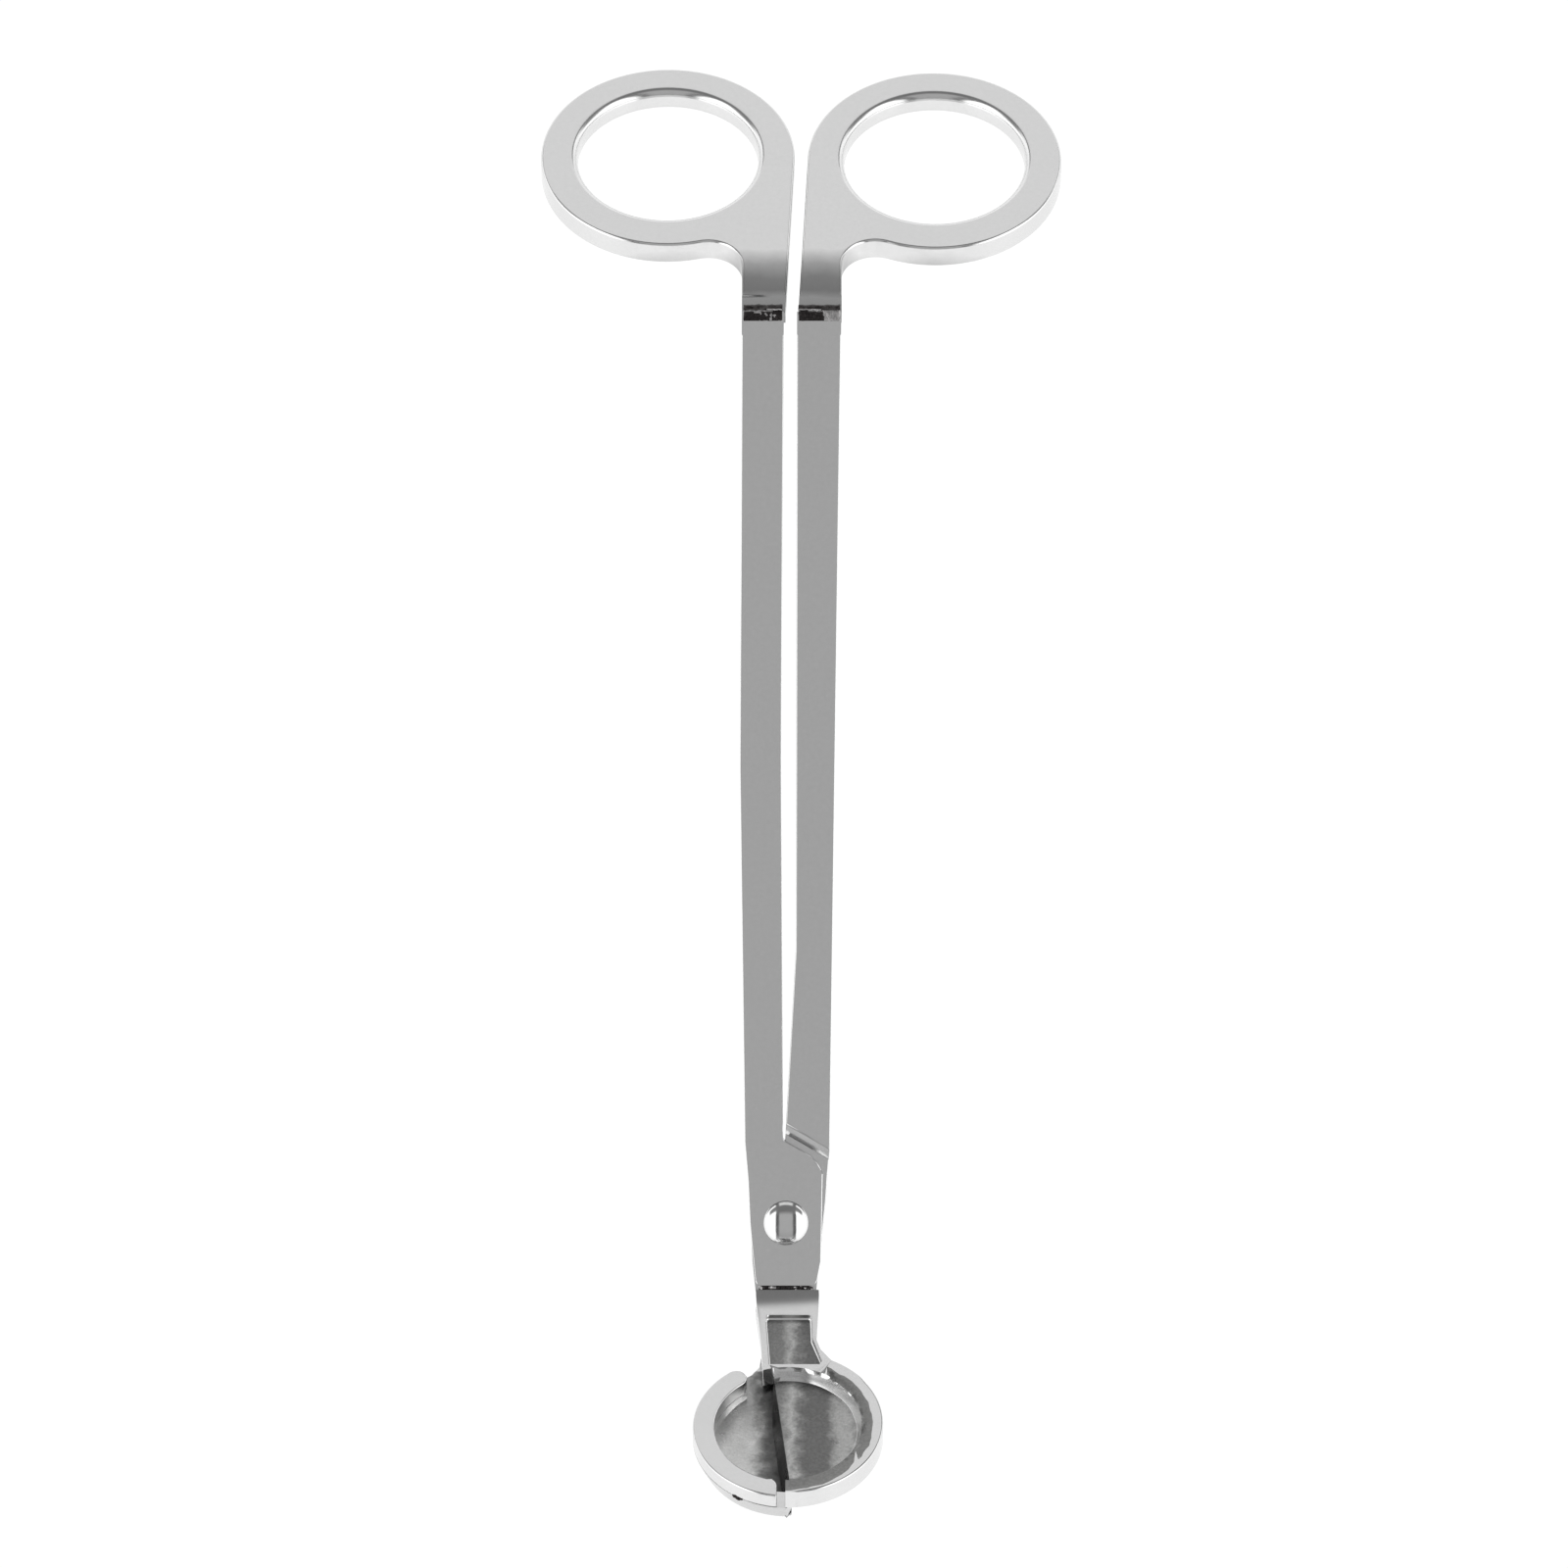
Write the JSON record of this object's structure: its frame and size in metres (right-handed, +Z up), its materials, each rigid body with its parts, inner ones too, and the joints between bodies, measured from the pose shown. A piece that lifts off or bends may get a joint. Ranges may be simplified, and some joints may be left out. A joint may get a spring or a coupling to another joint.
{
  "type": "wick trimmer",
  "caption": "Long-handled candle wick trimmer with finger loops bent down and a bent-up head whose two blades shear inside a small round catch tray.",
  "frame": {"origin": "centre of the bounding box's footprint, on the floor the trimmer lies on", "axes": "+X to the right finger loop seen from above, +Y from the tray to the finger loops, +Z up; the shanks rise toward the loops and rest on the loops' lips and the heel behind the tray"},
  "size_m": [0.0616, 0.1752, 0.0248],
  "materials": {
    "polished_steel": "polished stainless steel with soft edges",
    "satin_steel": "satin steel, tumbled grain in the sunk faces",
    "weld_steel": "rough dark weld metal"
  },
  "bodies": {
    "rear_arm": {"right_shank": "polished_steel", "right_finger_loop": "polished_steel", "right_loop_weld": "weld_steel", "lower_jaw": "satin_steel", "lower_jaw_rim": "polished_steel", "lower_jaw_weld": "weld_steel", "pivot_rivet": "polished_steel"},
    "front_arm": {"left_shank": "polished_steel", "left_finger_loop": "polished_steel", "left_loop_weld": "weld_steel", "upper_jaw": "satin_steel", "upper_jaw_weld": "weld_steel"}
  },
  "joints": [
    {"name": "rivet_pivot", "type": "hinge", "parent": "rear_arm", "child": "front_arm", "pos_m": [-0.0018, -0.05166, 0.00495], "axis": [0, -0.1847, 0.9828], "range_deg": [-0.6, 28]}
  ]
}
